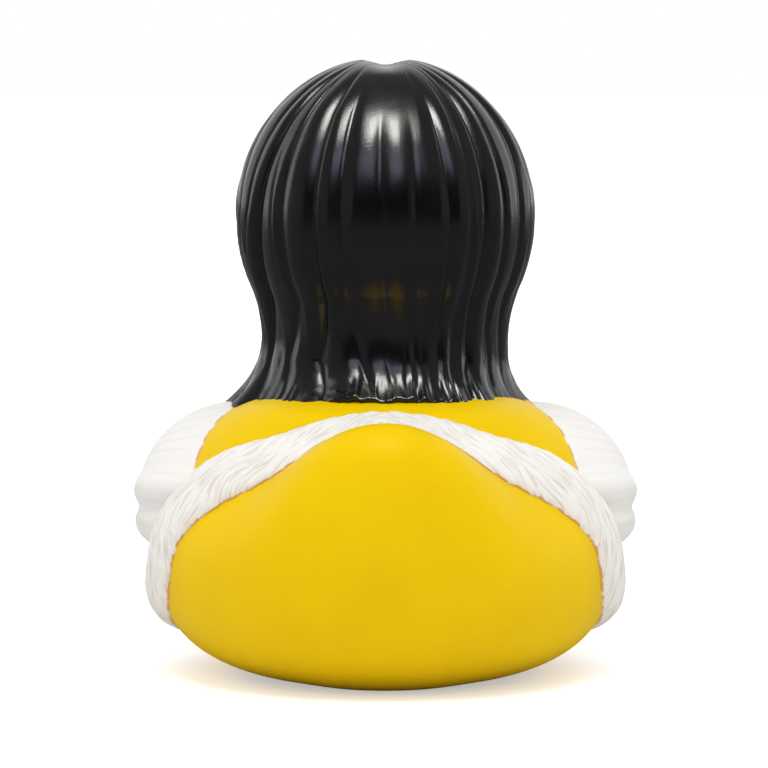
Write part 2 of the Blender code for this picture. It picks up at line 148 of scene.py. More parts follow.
@contextmanager
def editing(piece: Piece) -> Iterator[None]:
    """Opens a piece in edit mode, all of it selected, for the operators in a with block.

    Args:
        piece: The mesh object.

    Yields:
        Nothing.
    """
    select_only(piece)
    bpy.ops.object.mode_set(mode="EDIT")
    bpy.ops.mesh.select_all(action="SELECT")
    yield
    bpy.ops.object.mode_set(mode="OBJECT")


def apply_modifier(piece: Piece, kind: str, **settings: object) -> None:
    """Adds a modifier to a piece and applies it.

    Args:
        piece: The object to change.
        kind: The modifier's type, such as "REMESH".
        **settings: The modifier's properties.
    """
    select_only(piece)
    modifier = piece.modifiers.new(kind.lower(), kind)
    for key, value in settings.items():
        setattr(modifier, key, value)
    bpy.ops.object.modifier_apply(modifier=modifier.name)


def points_of(piece: Piece) -> Array:
    """The places of a mesh's vertices.

    Args:
        piece: The mesh object.

    Returns:
        One row of x, y and z for each vertex.
    """
    flat = np.empty(len(piece.data.vertices) * 3)
    piece.data.vertices.foreach_get("co", flat)
    return flat.reshape(-1, 3)


def move_points(piece: Piece, points: Array) -> None:
    """Moves a mesh's vertices to the places that are given, one row for each."""
    piece.data.vertices.foreach_set("co", np.ascontiguousarray(points, float).ravel())
    piece.data.update()


def turned_ball(name: str, columns: int, rows: int) -> Piece:
    """Adds a ball of radius 1 m about the origin, to be shaped.

    Args:
        name: The piece's name.
        columns: Segments round it.
        rows: Rings from pole to pole.

    Returns:
        The new object, alone selected.
    """
    bpy.ops.object.select_all(action="DESELECT")
    bpy.ops.mesh.primitive_uv_sphere_add(segments=columns, ring_count=rows, radius=1.0)
    ball = bpy.context.object
    ball.name = name
    ball.data.name = name
    return ball


def joined(name: str, pieces: list[Piece]) -> Piece:
    """Joins several objects into the first of them.

    Args:
        name: The joined piece's name.
        pieces: The objects.

    Returns:
        The joined object.
    """
    select_only(pieces[0])
    for piece in pieces[1:]:
        piece.select_set(True)
    bpy.ops.object.join()
    pieces[0].name = name
    pieces[0].data.name = name
    return pieces[0]


def closed_shell(piece: Piece, points: Array) -> Piece:
    """Gives a closed piece its shape, turns its faces outwards and shades it smooth.

    Args:
        piece: The mesh object.
        points: One row of x, y and z for each vertex.

    Returns:
        The same object.
    """
    move_points(piece, points)
    with editing(piece):
        bpy.ops.mesh.normals_make_consistent(inside=False)
    bpy.ops.object.shade_smooth()
    return piece


def set_attribute(piece: Piece, name: str, values: Array) -> None:
    """Stores one number for each vertex, for a material to read."""
    layer = piece.data.attributes.new(name, "FLOAT", "POINT")
    layer.data.foreach_set("value", np.ascontiguousarray(values, np.float32))


def set_uv(piece: Piece, along: Array, across: Array) -> None:
    """Stores a UV map in place of the primitive's own.

    Args:
        piece: The mesh object.
        along: U of each vertex.
        across: V of each vertex.
    """
    layer = piece.data.uv_layers.active or piece.data.uv_layers.new(name="UVMap")
    corners = np.empty(len(piece.data.loops), np.int32)
    piece.data.loops.foreach_get("vertex_index", corners)
    pairs = np.stack([along[corners], across[corners]], axis=1)
    layer.data.foreach_set("uv", np.ascontiguousarray(pairs, np.float32).ravel())


def dress(piece: Piece, material: bpy.types.Material) -> None:
    """Gives a finished piece its material, and its place in the frame.

    Args:
        piece: The finished mesh object.
        material: Its material.
    """
    piece.data.materials.clear()
    piece.data.materials.append(material)
    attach(piece, "root")
    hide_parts("duck_shell")
    triangles = sum(len(face.vertices) - 2 for face in piece.data.polygons)
    log.info("%s: %d triangles", piece.name, triangles)


def smoothstep(low: float, high: float, values: Array) -> Array:
    """Rises smoothly from 0 at low to 1 at high, which may be the lower number."""
    share = np.clip((values - low) / (high - low), 0.0, 1.0)
    return share * share * (3 - 2 * share)


def patchy(along: Array, across: Array, seed: int) -> Array:
    """Smooth random values that change once for each whole step of either number.

    Args:
        along: The first number of each point.
        across: The second.
        seed: Which pattern to use.

    Returns:
        Values from 0 to 1.
    """
    table = np.random.default_rng(seed).random((256, 256))
    i, j = np.floor(along).astype(int), np.floor(across).astype(int)
    s, t = smoothstep(0, 1, along - i), smoothstep(0, 1, across - j)
    low, high = (
        table[i % 256, row % 256] * (1 - s) + table[(i + 1) % 256, row % 256] * s for row in (j, j + 1)
    )
    return low * (1 - t) + high * t


# Rounded forms, from which the mouldings are shaped


@dataclass(frozen=True)
class Blob:
    """A rounded block, like a pebble, that may lean back about the X axis.

    A plan or profile of 2 is an ellipse; more is squarer. Its underside may be shallower than its top.
    """

    centre: Point
    half: Point
    plan: float = 2.0
    profile: float = 2.0
    lean: float = 0.0
    under: float = 1.0

    def distance(self, points: Array) -> Array:
        """How far each point is outside the block, nearly.

        Args:
            points: One row for each point.

        Returns:
            Metres, less than 0 inside.
        """
        local = (points - np.array(self.centre)) @ np.array(Matrix.Rotation(-self.lean, 3, "X"))
        share = np.abs(local / np.array(self.half))
        share[:, 2] /= np.where(local[:, 2] < 0, self.under, 1.0)
        level = (share[:, 0] ** self.plan + share[:, 1] ** self.plan) ** (self.profile / self.plan)
        outward = np.maximum((level + share[:, 2] ** self.profile) ** (1 / self.profile), 1e-9)
        return np.linalg.norm(local, axis=1) * (1 - 1 / outward)


@dataclass(frozen=True)
class Form:
    """Blocks that run into one another, each with a fillet of its own radius."""

    first: Blob
    rest: tuple[tuple["Blob | Form", float], ...] = ()
    # The longest ray, and how often it is halved to find the skin
    longest: float = 0.083
    halvings: int = 26
    # The least slope, squared, that a point is moved by
    least_slope: float = 0.05

    def distance(self, points: Array) -> Array:
        """How far each point is outside the form, nearly.

        Args:
            points: One row for each point.

        Returns:
            Metres, less than 0 inside.
        """
        total = self.first.distance(points)
        for block, fillet in self.rest:
            other = block.distance(points)
            overlap = np.maximum(fillet - np.abs(total - other), 0) / fillet
            total = np.minimum(total, other) - overlap**2 * fillet / 4
        return total

    def reach(self, centre: Array, rays: Array, inset: float = 0.0) -> Array:
        """How far the skin lies from a point inside, along each ray.

        Args:
            centre: The point inside.
            rays: One unit vector for each ray.
            inset: How far under the skin to stop.

        Returns:
            The length along each ray.
        """
        near, far = np.zeros(len(rays)), np.full(len(rays), self.longest)
        for _ in range(self.halvings):
            middle = (near + far) / 2
            points = centre + rays * middle[:, None]
            inside = self.distance(points) < -inset
            if inset:
                inside &= points[:, 2] > inset
            near, far = np.where(inside, middle, near), np.where(inside, far, middle)
        return near

    def slopes(self, points: Array) -> Array:
        """How fast the distance grows at each point: a vector that leads out of the form."""
        steps = 2e-5 * np.eye(3)
        return np.stack([self.distance(points + s) - self.distance(points - s) for s in steps], axis=1) / 4e-5

    def press(self, piece: Piece, rounds: int) -> None:
        """Smooths a mesh and presses it back on to the form, over and over.

        Args:
            piece: A mesh that already lies near the form's skin.
            rounds: How many times.
        """
        for turn in range(rounds):
            with editing(piece):
                bpy.ops.mesh.vertices_smooth(factor=0.5, repeat=2 if turn < rounds - 1 else 1)
            points = points_of(piece)
            for _ in range(3):
                ways = self.slopes(points)
                steepness = np.maximum((ways**2).sum(axis=1), self.least_slope)
                points = points - ways * (self.distance(points) / steepness)[:, None]
            move_points(piece, points)


def torso_form() -> Form:
    """The duck's body: a low wide hull, a squarer back on it, and an upswept tail.

    Returns:
        The form.
    """
    hull = Blob((0, 0, 0.0185), (0.0388, 0.0415, 0.0200), plan=2.35, profile=2.6)
    back = Blob((0, -0.0050, 0.0270), (0.0375, 0.0335, 0.0225), plan=2.35, profile=3.2)
    tail = Blob((0, 0.0335, 0.0278), (0.0180, 0.0115, 0.0210), lean=math.radians(24))
    return Form(hull, ((back, 0.0100), (tail, 0.0160)))


def head_form() -> Form:
    """The head, a ball, on its neck.

    Returns:
        The form.
    """
    head = Blob((0, -0.0102, 0.0800), (0.0235, 0.0235, 0.0235))
    neck = Blob((0, -0.0090, 0.0570), (0.0182, 0.0182, 0.0230), profile=3.2)
    return Form(head, ((neck, 0.0060),))


TORSO = torso_form()
HEAD = head_form()
TORSO_CENTRE = np.array([0.0, 0.0, 0.02275])
HEAD_CENTRE = np.array(HEAD.first.centre)


# Finishes


@dataclass(frozen=True)
class SoftVinyl:
    """Rotation-moulded soft PVC, self-coloured yellow.

    It gives a satin surface with a faint pebble from the mould, and a little light comes through it.
    """

    name: str = "soft_pvc_rotomoulded"
    colour: str = "E5C100"
    warmer: str = "DBB300"
    pebble_mm: float = 0.7
    pebble_depth_mm: float = 0.08
    mottle_mm: float = 14.0
    roughness: float = 0.40
    ior: float = 1.52
    depth_mm: float = 1.2

    def material(self) -> bpy.types.Material:
        """Builds the vinyl's material.

        Returns:
            The material.
        """
        made, shader, place = new_material(self.name)
        tree = made.node_tree
        # Pigment that swirls a little through the paste
        noise = {"Scale": MM / self.mottle_mm, "Detail": 3.0, "Roughness": 0.55}
        mottle = add_node(tree, "TexNoise", noise, {"Vector": place})
        colours = {"data_type": "RGBA", 6: linear(self.colour), 7: linear(self.warmer)}
        tint = add_node(tree, "Mix", colours, {0: mottle})
        # The mould's fine pebble, coarser than the real one so that it shows
        noise = {"Scale": MM / self.pebble_mm, "Detail": 4.0, "Roughness": 0.6}
        pebble = add_node(tree, "TexNoise", noise, {"Vector": place})
        least, most = self.roughness - 0.04, self.roughness + 0.06
        span = {"From Min": 0.3, "From Max": 0.7, "To Min": least, "To Max": most}
        sheen = add_node(tree, "MapRange", span, {"Value": pebble})
        depth = {"Strength": 0.22, "Distance": self.pebble_depth_mm / MM}
        bump = add_node(tree, "Bump", depth, {"Height": pebble})
        values = {
            "IOR": self.ior,
            "Specular IOR Level": 0.06,
            "Subsurface Weight": 0.06,
            "Subsurface Radius": (1.0, 0.6, 0.1),
            "Subsurface Scale": self.depth_mm / MM,
        }
        wire(shader, values, {"Base Color": tint, "Roughness": sheen, "Normal": bump})
        return made


@dataclass(frozen=True)
class GlossLacquer:
    """Black acrylic lacquer, sprayed over the carved hair.

    It gives sharp bright spots on each lock, broken up by the spray's fine grain, and near-black elsewhere.
    """

    name: str = "acrylic_lacquer_sprayed_black"
    colour: str = "040404"
    scuffed: str = "0C0C0D"
    grain_mm: float = 0.30
    grain_depth_mm: float = 0.05
    dull_per_metre: float = 90.0
    roughness: float = 0.20
    ior: float = 1.50

    def material(self) -> bpy.types.Material:
        """Builds the lacquer's material.

        Returns:
            The material.
        """
        made, shader, place = new_material(self.name)
        tree = made.node_tree
        # The spray's grain of fine droplets
        noise = {"Scale": MM / self.grain_mm, "Detail": 2.0, "Roughness": 0.5}
        grain = add_node(tree, "TexNoise", noise, {"Vector": place})
        # Where fingers have dulled it, in patches about 11 mm wide
        noise = {"Scale": self.dull_per_metre, "Detail": 4.0, "Roughness": 0.6}
        dull = add_node(tree, "TexNoise", noise, {"Vector": place})
        colours = {"data_type": "RGBA", 6: linear(self.colour), 7: linear(self.scuffed)}
        tint = add_node(tree, "Mix", colours, {0: grain})
        least, most = self.roughness - 0.02, self.roughness + 0.07
        span = {"From Min": 0.35, "From Max": 0.7, "To Min": least, "To Max": most}
        sheen = add_node(tree, "MapRange", span, {"Value": dull})
        depth = {"Strength": 0.45, "Distance": self.grain_depth_mm / MM}
        bump = add_node(tree, "Bump", depth, {"Height": grain})
        wire(shader, {"IOR": self.ior}, {"Base Color": tint, "Roughness": sheen, "Normal": bump})
        return made


@dataclass(frozen=True)
class MattPaint:
    """Matt white spray paint over carved vinyl.

    It gives a soft chalky white with painted shade in its carved cuts, and the yellow vinyl's edge shows
    through it as a thin warm line.
    """

    name: str
    strand_mm: float
    strand_depth_mm: float
    # Share of painted shade, a darker warm grey, in the carved cuts
    tint: float
    colour: str
    # The darker warm grey painted into the carved cuts as shade
    cut_shade: str = "C0B4A8"
    stain: str = "CC8A18"
    strand_length: float = 12.5
    grain_per_metre: float = 1800.0
    grain_depth_mm: float = 0.03
    ragged_per_metre: float = 500.0
    roughness: float = 0.55
    ior: float = 1.50

    def material(self) -> bpy.types.Material:
        """Builds the paint's material; the piece's UV map runs in metres, U along its strands.

        Returns:
            The material.
        """
        made, shader, place = new_material(self.name)
        tree = made.node_tree
        # Carved hairs, each strand_mm wide and strand_length times as long
        across = MM / self.strand_mm
        lay = {"Scale": (across / self.strand_length, across, 1.0)}
        lay = add_node(tree, "Mapping", lay, {"Vector": place.node.outputs["UV"]})
        noise = {"noise_dimensions": "2D", "Scale": 1.0, "Detail": 0.0, "Distortion": 0.3}
        strands = add_node(tree, "TexNoise", noise, {"Vector": lay})
        # Painted shade: the carved cuts are coloured towards a darker warm grey, by tint of the way
        span = {"From Min": 0.30, "From Max": 0.42, "To Min": self.tint, "To Max": 0.0}
        cut = add_node(tree, "MapRange", span, {"Value": strands})
        colours = {"data_type": "RGBA", 6: linear(self.colour), 7: linear(self.cut_shade)}
        body = add_node(tree, "Mix", colours, {0: cut})
        # The vinyl shows in a ragged line where the paint ends
        edge = add_node(tree, "Attribute", {"attribute_name": "paint_edge"}).outputs["Fac"]
        noise = {"Scale": self.ragged_per_metre, "Detail": 3.0, "Roughness": 0.65}
        ragged = add_node(tree, "TexNoise", noise, {"Vector": place})
        mask = add_node(tree, "Math", {"operation": "MULTIPLY"}, {0: edge, 1: ragged})
        span = {"From Min": 0.32, "From Max": 0.50, "To Min": 0.0, "To Max": 0.85}
        line = add_node(tree, "MapRange", span, {"Value": mask})
        worn = add_node(tree, "Mix", {"data_type": "RGBA", 7: linear(self.stain)}, {0: line, 6: body})
        depth = {"Strength": 0.8, "Distance": self.strand_depth_mm / MM}
        carve = add_node(tree, "Bump", depth, {"Height": strands})
        noise = {"Scale": self.grain_per_metre, "Detail": 3.0, "Roughness": 0.6}
        grain = add_node(tree, "TexNoise", noise, {"Vector": place})
        depth = {"Strength": 0.10, "Distance": self.grain_depth_mm / MM}
        bump = add_node(tree, "Bump", depth, {"Height": grain, "Normal": carve})
        values = {"Roughness": self.roughness, "IOR": self.ior, "Specular IOR Level": 0.3}
        wire(shader, values, {"Base Color": worn, "Normal": bump})
        return made


@dataclass(frozen=True)
class SatinPaint:
    """Pad-printed or brushed enamel on vinyl, for the bill and the eyes.

    It gives an even coat with a soft shine and a very faint brush grain.
    """

    name: str
    colour: str
    shade: str
    roughness: float
    coat_per_metre: float = 330.0
    coat_depth_mm: float = 0.05
    ior: float = 1.50

    def material(self) -> bpy.types.Material:
        """Builds the enamel's material.

        Returns:
            The material.
        """
        made, shader, place = new_material(self.name)
        tree = made.node_tree
        # The coat is thicker in places about 3 mm wide
        noise = {"Scale": self.coat_per_metre, "Detail": 4.0, "Roughness": 0.6}
        coat = add_node(tree, "TexNoise", noise, {"Vector": place})
        colours = {"data_type": "RGBA", 6: linear(self.colour), 7: linear(self.shade)}
        tint = add_node(tree, "Mix", colours, {0: coat})
        depth = {"Strength": 0.15, "Distance": self.coat_depth_mm / MM}
        bump = add_node(tree, "Bump", depth, {"Height": coat})
        wire(shader, {"Roughness": self.roughness, "IOR": self.ior}, {"Base Color": tint, "Normal": bump})
        return made


# The moulding's parts


@dataclass
class Body:
    """The yellow moulding: torso, tail, neck and head in one hollow skin, with a vent in its flat base."""

    wall: float = 0.0022
    vent_radius: float = 0.0020
    vent_depth: float = 0.0207
    vent_middle: float = 0.00815
    neck_fillet: float = 0.0030
    voxel: float = 0.00075
    tail_trim: float = 0.9965
    base_round: float = 0.0009
    # The nape swells a little, so that the hair's hem lies on it
    nape: Blob = Blob((0, 0.0050, 0.0451), (0.0240, 0.0190, 0.0047), profile=2.6)
    nape_fillet: float = 0.0050
    finish: SoftVinyl = SoftVinyl()

    def skin(self, name: str, form: Form, centre: Array, size: tuple[int, int], inset: float) -> Piece:
        """Shapes a ball into the skin of a form.

        Args:
            name: The piece's name.
            form: The form to follow.
            centre: A point inside, from which every ray leaves the form once.
            size: Columns and rows of the ball.
            inset: How far under the skin to lie.

        Returns:
            The shaped object.
        """
        ball = turned_ball(name, *size)
        rays = points_of(ball)
        rays /= np.linalg.norm(rays, axis=1, keepdims=True)
        move_points(ball, centre + rays * form.reach(centre, rays, inset)[:, None])
        return ball

    def flatten_base(self, piece: Piece) -> None:
        """Cuts the closed skin flat where it stands, and rounds the edge of the cut."""
        with editing(piece):
            bpy.ops.mesh.bisect(plane_co=(0, 0, 0), plane_no=(0, 0, 1), use_fill=True, clear_inner=True)
            bpy.ops.mesh.bevel(offset=self.base_round, segments=4, affect="EDGES")

    def hollow(self) -> Piece:
        """The space inside, with the air hole that leads out of it through the base.

        Returns:
            A closed cutter.
        """
        inside = self.skin("torso_space", TORSO, TORSO_CENTRE, (72, 40), self.wall)
        above = self.skin("head_space", HEAD, HEAD_CENTRE, (56, 32), self.wall)
        bpy.ops.mesh.primitive_cylinder_add(
            vertices=48, radius=self.vent_radius, depth=self.vent_depth, location=(0, 0, self.vent_middle)
        )
        vent = bpy.context.object
        for other in (above, vent):
            apply_modifier(inside, "BOOLEAN", operation="UNION", solver="EXACT", object=other)
            bpy.data.objects.remove(other)
        return inside

    def build(self) -> Piece:
        """Models the moulding.

        Returns:
            The finished body.
        """
        torso = self.skin("duck_body", TORSO, TORSO_CENTRE, (96, 56), 0.0)
        head = self.skin("head", HEAD, HEAD_CENTRE, (64, 40), 0.0)
        body = joined("duck_body", [torso, head])
        apply_modifier(body, "REMESH", mode="VOXEL", voxel_size=self.voxel)
        whole = Form(TORSO.first, (*TORSO.rest, (self.nape, self.nape_fillet), (HEAD, self.neck_fillet)))
        whole.press(body, 5)
        self.flatten_base(body)
        inside = self.hollow()
        apply_modifier(body, "BOOLEAN", operation="DIFFERENCE", solver="EXACT", object=inside)
        bpy.data.objects.remove(inside)
        points = points_of(body)
        points[:, 1] *= np.where(points[:, 1] > 0, self.tail_trim, 1.0)
        points[:, 2] = np.maximum(points[:, 2], 0.0)
        move_points(body, points)
        select_only(body)
        bpy.ops.object.shade_smooth_by_angle(angle=math.radians(50))
        return body

    def make(self) -> None:
        """Builds and dresses the moulding."""
        dress(self.build(), self.finish.material())


@dataclass
class Hair:
    """A bell of carved locks: a dome over the head, a waist at the neck and a flared, ragged hem."""

    lock_columns: int = 16
    opening_columns: int = 64
    rows: int = 214
    axis_forward: float = 0.0090
    head_height: float = 0.0800
    head_radius: float = 0.0235
    thickness: float = 0.0032
    crown_thickness: float = 0.00485
    dome_end: float = math.radians(-27)
    dome_share: float = 0.62
    waist_radius: float = 0.0219
    waist_height: float = 0.0570
    hem_radius: float = 0.0262
    hem_height: float = 0.0470
    hem_flare: float = 2.5
    hem_ragged: float = 0.0009
    hem_lift: float = 0.0003
    foot_drop: float = 0.0040
    turn_in: float = 1.7
    back_rise: float = 0.0031
    back_sweep: float = 0.0020
    outer_share: float = 0.885
    lip: float = 0.0008
    crown_pit: float = 0.0007
    crown_pit_radius: float = 0.0040
    finish: GlossLacquer = GlossLacquer()
    # How far down from the crown each column of the table below is taken
    levels: tuple[float, ...] = (0.10, 0.25, 0.45, 0.65, 0.85, 1.0)
    # Crest of each lock, in degrees round from the nape, at those levels; then, for the cut on its far
    # side, its depth and where it starts, and for the lock how far it stands out, hangs and kicks out, in mm
    locks: tuple[tuple[float, ...], ...] = (
        (-70, -74, -71, -79, -93, -90, 0.8, 0.02, 0.1, 0.6, 2.6),
        (-52, -57, -63, -74, -80, -71, 1.0, 0.02, 0.3, 0.9, 2.2),
        (-41, -45, -49, -49, -58, -54, 0.4, 0.06, 0.0, 1.1, 1.0),
        (-31, -36, -36, -34, -44, -38, 0.9, 0.08, 0.2, 0.6, 0.2),
        (-19, -24, -24, -22, -20, -11, 0.7, 0.12, 0.1, 0.1, 0.0),
        (-6, -8, -10, -9, -6, 1, 0.5, 0.22, 0.0, 0.4, 0.2),
        (5, 5, 5, 8, 10, 11, 0.3, 0.24, 0.2, 0.5, 0.0),
        (16, 18, 20, 22, 19, 18, 0.8, 0.16, 0.0, 0.3, 0.0),
        (27, 29, 30, 29, 28, 25, 0.15, 0.12, 0.2, 0.8, 0.0),
        (37, 38, 38, 38, 36, 32, 0.8, 0.04, 0.0, 0.5, 0.0),
        (47, 48, 48, 46, 48, 46, 0.7, 0.02, 0.3, 0.8, -0.2),
        (59, 57, 56, 58, 63, 62, 0.9, 0.02, 0.0, 1.0, -0.6),
        (80, 77, 70, 72, 80, 79, 0.8, 0.02, 0.3, 0.6, -0.9),
    )
    # Further locks, as shares of the way from the last lock on either side to the edge of the face,
    # each with the same five numbers
    side_locks: tuple[tuple[float, ...], ...] = (
        (0.19, 0.9, 0.02, 0.0, 0.4, 0.0),
        (0.40, 0.6, 0.02, 0.2, 0.9, 0.3),
        (0.58, 1.0, 0.02, 0.0, 0.5, 0.0),
        (0.77, 0.7, 0.02, 0.3, 0.8, 0.4),
        (0.93, 0.8, 0.02, 0.0, 0.4, 0.0),
    )
    cut_share: float = 0.15
    cut_deepest: float = 0.0015
    roundness: float = 3.2
    strand_depth: float = 0.00028
    # How many degrees round the hair each pattern takes for one change
    drift_deg: float = 14.0
    broad_strand_deg: float = 4.2
    fine_strand_deg: float = 2.2
    tuft_deg: float = 9.0
    ragged_deg: float = 1.4
    trough_depth: float = 0.0011
    trough_width: float = 0.0032
    trough_ends: tuple[float, float] = (0.0120, 0.0040)
    face_opening: float = math.radians(50)
    hem_opening: float = math.radians(40)
    parting_angle: float = math.radians(2)
    eye_rise: float = 0.0045
    forehead_rise: float = 0.0200
    # The face's edge: how wide it rolls in, how deep above the face, beside it and under the chin
    roll_width: float = 0.0016
    parting_sink: float = 0.0012
    face_sink: float = 0.0047
    chin_tuck: float = 0.0138
    peak_blend: float = 0.0030

    def profile(self, share: Array) -> tuple[Array, Array, Array]:
        """The bell's outline.

        Args:
            share: The way down from the crown at 0 to the hem at 1.

        Returns:
            Radius, height, and the outward normal as a row of two numbers.
        """
        wide = self.head_radius + self.thickness
        tall = self.head_radius + self.crown_thickness
        on_dome = share <= self.dome_share
        angle = math.pi / 2 + (self.dome_end - math.pi / 2) * np.minimum(share / self.dome_share, 1.0)
        top = self.head_height + tall * math.sin(self.dome_end)
        down = (share - self.dome_share) / (1 - self.dome_share)
        lower = top + (self.hem_height - top) * down
        height = np.where(on_dome, self.head_height + tall * np.sin(angle), lower)
        above = height > self.waist_height
        rise = np.where(above, top, self.hem_height) - self.waist_height
        power = np.where(above, 2.0, self.hem_flare)
        swell = np.where(above, wide * math.cos(self.dome_end), self.hem_radius) - self.waist_radius
        away = np.clip((height - self.waist_height) / rise, 0.0, 1.2)
        slope = swell * power * away ** (power - 1) / rise
        radius = np.where(on_dome, wide * np.cos(angle), self.waist_radius + swell * away**power)
        normal = np.where(
            on_dome[:, None],
            np.stack([tall * np.cos(angle), wide * np.sin(angle)], axis=1),
            np.stack([np.ones_like(slope), -slope], axis=1),
        )
        return radius, height, normal / np.linalg.norm(normal, axis=1, keepdims=True)

    def opening(self, height: Array) -> Array:
        """Half the angle of the face's opening at each height.

        Args:
            height: Heights above the ground.

        Returns:
            Angles in radians.
        """
        eyes = self.head_height + self.eye_rise
        rise = np.clip((height - eyes) / (self.forehead_rise - self.eye_rise), 0.0, 1.0)
        upper = np.maximum(self.face_opening * (1 - rise) ** 0.75, self.parting_angle)
        fall = np.clip((eyes - height) / (eyes - self.hem_height), 0.0, 1.0)
        lower = self.face_opening + (self.hem_opening - self.face_opening) * fall
        return np.where(height >= eyes, upper, lower)

    def crests(self, share: Array, edge: Array) -> tuple[Array, Array]:
        """Where the locks' crests and cuts run at each way down.

        Args:
            share: The way down, one number for each point.
            edge: The azimuth of the face's edge there.

        Returns:
            Crests and cuts, one column for each lock; there is one more cut than there are crests.
        """
        level = np.array(self.levels)
        lines = [np.radians(np.interp(share, level, np.array(lock[:6]))) for lock in self.locks]
        left = [lines[0] - (edge + lines[0]) * lock[0] for lock in reversed(self.side_locks)]
        right = [lines[-1] + (edge - lines[-1]) * lock[0] for lock in self.side_locks]
        crest = np.stack([*left, *lines, *right], axis=1)
        # The cuts wander a little to either side of the middle between two crests
        number = np.arange(crest.shape[1] - 1)
        drift = 0.12 * np.sin(5.0 * share[:, None] + 2.4 * number) + 0.10 * np.sin(1.7 * number)
        cuts = crest[:, :-1] + (0.5 + drift) * (crest[:, 1:] - crest[:, :-1])
        return crest, np.concatenate([-edge[:, None], cuts, edge[:, None]], axis=1)

    def lock_values(self, index: int) -> Array:
        """One of the five numbers of every lock, in order round the hair."""
        extra = [lock[1 + index] for lock in self.side_locks]
        return np.array([*reversed(extra), *(lock[6 + index] for lock in self.locks), *extra])

    def relief(
        self, lock: Array, across: Array, share: Array, edge: Array, radius: Array
    ) -> dict[str, Array]:
        """How the carving runs at each point of a lock.

        Args:
            lock: The lock's number, from the face round by the duck's left.
            across: The way across the lock, from -1 at one cut, past 0 at the crest, to 1 at the next.
            share: The way down from the crown.
            edge: The azimuth of the face's edge there.
            radius: The bell's radius there.

        Returns:
            The azimuth, and in metres the depth, and how far the lock's tip hangs and kicks out.
        """
        crest, cuts = self.crests(share, edge)
        rows = np.arange(len(lock))
        middle, low, high = crest[rows, lock], cuts[rows, lock], cuts[rows, lock + 1]
        right = across > 0
        azimuth = middle + across * np.where(right, high - middle, middle - low)
        cut = np.where(right, lock + 1, lock)
        factor = np.concatenate([[0.8], self.lock_values(0)])[cut]
        start = np.concatenate([[0.02], self.lock_values(1)])[cut]
        begun = smoothstep(0.0, 0.16, share - start)
        deepest = np.minimum(self.cut_share * (high - low) * radius * factor, self.cut_deepest) * begun
        away = np.abs(across)
        depth = deepest * (0.88 * away**self.roundness + 0.12 * np.sin(away * math.pi / 2) ** 2)
        stand = self.lock_values(2)[lock] / MM
        depth = depth - stand * (1 - across**2) ** 2 * smoothstep(0.08, 0.3, share)
        # Strands: long low ridges that start and stop, more of them towards the hem
        turn = np.degrees(azimuth)
        drift = 1.2 * patchy(share * 5, turn / self.drift_deg, 3)
        broad = np.abs(2 * patchy(share * 4, turn / self.broad_strand_deg + drift, 1) - 1)
        fine = np.abs(2 * patchy(share * 7, turn / self.fine_strand_deg + 1.6 * drift, 2) - 1)
        where = patchy(share * 3, turn / self.tuft_deg, 4)
        fade = smoothstep(0.10, 0.55, share)
        low_down = smoothstep(0.84, 0.98, share) * smoothstep(0.25, 0.65, where)
        depth = depth + self.strand_depth * broad * (0.3 + 0.7 * fade) * (0.4 + 0.9 * where)
        depth = depth + self.strand_depth * fine * (0.2 * fade * where + 1.1 * low_down)
        hang = self.lock_values(3)[lock] / MM * (1 - away**2.5)
        ragged = self.hem_ragged * (patchy(np.zeros_like(share), turn / self.ragged_deg, 5) - 0.5)
        kicks = self.lock_values(4) / MM
        beside = np.clip(np.where(right, lock + 1, lock - 1), 0, len(kicks) - 1)
        kick = kicks[lock] + (kicks[beside] - kicks[lock]) * away / 2
        return {
            "azimuth": azimuth,
            "depth": depth,
            "hang": (hang + ragged - self.hem_lift) * smoothstep(0.88, 1.0, share),
            "kick": kick * smoothstep(0.76, 1.04, share),
        }

    def surface(self, column: Array, share: Array) -> Array:
        """Points on the outside of the hair.

        Args:
            column: The column's number, counted both ways from the middle of the nape.
            share: The way down from the crown at 0 to the hem at 1.

        Returns:
            One row for each point.
        """
        radius, height, normal = self.profile(share)
        opening = self.opening(height)
        edge = math.pi - opening
        locks = len(self.locks) + 2 * len(self.side_locks)
        covered_columns = locks * self.lock_columns / 2
        covered = np.abs(column) <= covered_columns
        place = (np.clip(column, -covered_columns, covered_columns) + covered_columns) / self.lock_columns
        lock = np.minimum(place.astype(int), locks - 1)
        relief = self.relief(lock, 2 * (place - lock) - 1, share, edge, radius)
        into = np.clip((np.abs(column) - covered_columns) / (self.opening_columns / 2), 0, 1) ** 1.8
        azimuth = np.where(covered, relief["azimuth"], np.sign(column) * (edge + opening * into))
        # At the face the hair rolls in under the skin; above the forehead it only dips into the parting
        gap = opening * into * radius
        roll = 1 - np.sqrt(np.maximum(1 - np.minimum(gap / self.roll_width, 1) ** 2, 0))
        below_peak = np.clip((self.head_height + self.forehead_rise - height) / self.peak_blend, 0, 1)
        below_chin = np.clip((self.head_height - height) / self.head_radius, 0, 1)
        sunk = self.parting_sink * np.minimum(1, 4 * share) + self.face_sink * below_peak * (1 - below_chin)
        tuck = np.where(covered, 0, roll * self.chin_tuck * below_chin)
        depth = relief["depth"] + np.where(covered, 0, roll * sunk)
        backward = np.maximum(0, np.cos(azimuth)) * np.maximum(0, 2 * share - 1)
        out = radius - depth * normal[:, 0] - tuck + relief["kick"]
        # A shallow trough runs over the crown from front to back, with a dimple where the locks meet
        trough = self.trough_depth * np.exp(-((out * np.sin(azimuth) / self.trough_width) ** 2))
        trough = trough * smoothstep(*self.trough_ends, radius)
        dip = self.crown_pit * np.clip(1 - (radius / self.crown_pit_radius) ** 2, 0, 1) + trough
        up = height + self.back_rise * backward**2 - depth * normal[:, 1] - relief["hang"] - dip
        back = out * np.cos(azimuth) + self.back_sweep * backward - self.axis_forward
        return np.stack([-out * np.sin(azimuth), back, up], axis=1)

